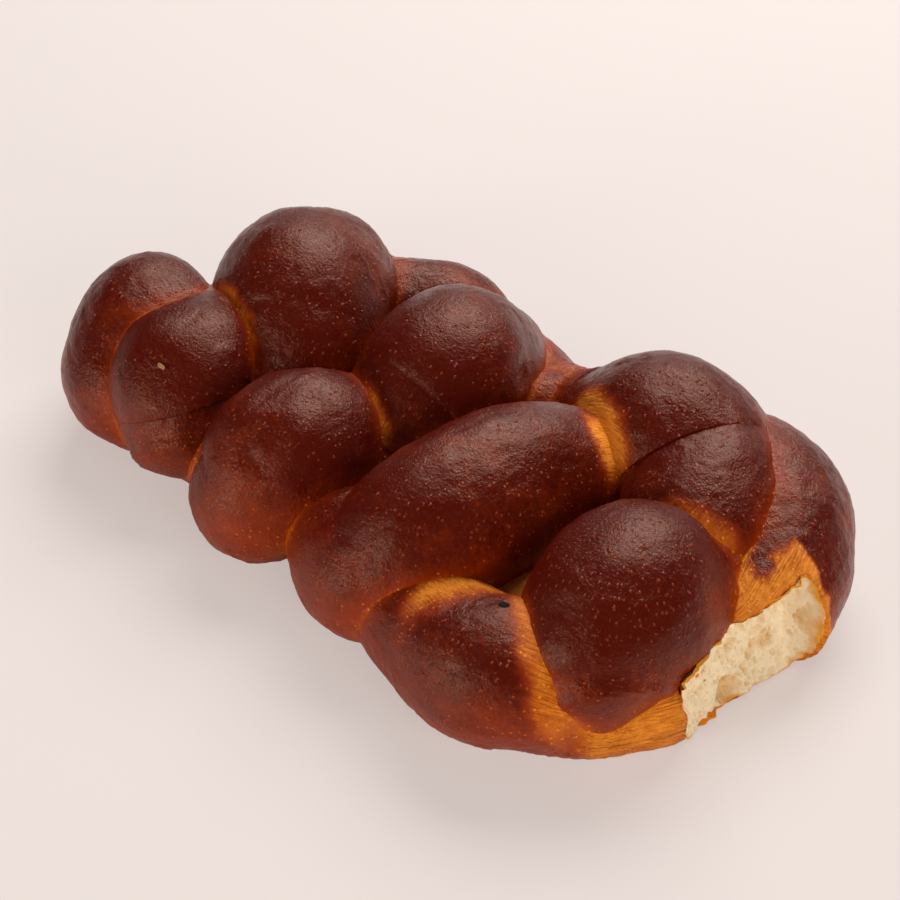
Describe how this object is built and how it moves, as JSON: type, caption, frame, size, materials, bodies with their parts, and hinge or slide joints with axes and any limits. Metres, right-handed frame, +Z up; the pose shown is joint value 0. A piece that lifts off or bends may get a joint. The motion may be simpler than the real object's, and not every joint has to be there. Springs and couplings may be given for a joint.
{
  "type": "braided loaf",
  "caption": "Baked braided loaf of plaited round strands, with a flat base and a torn crumb face at one end.",
  "frame": {"origin": "middle of the base: the centre of the bounding box's bottom face", "axes": "+X along the loaf towards the big, torn end; +Y across it; +Z up from the flat base"},
  "size_m": [0.32, 0.193, 0.08],
  "materials": {
    "baked_crust": "satin egg-washed bread crust"
  },
  "bodies": {
    "root": {"loaf": "baked_crust"}
  },
  "joints": []
}
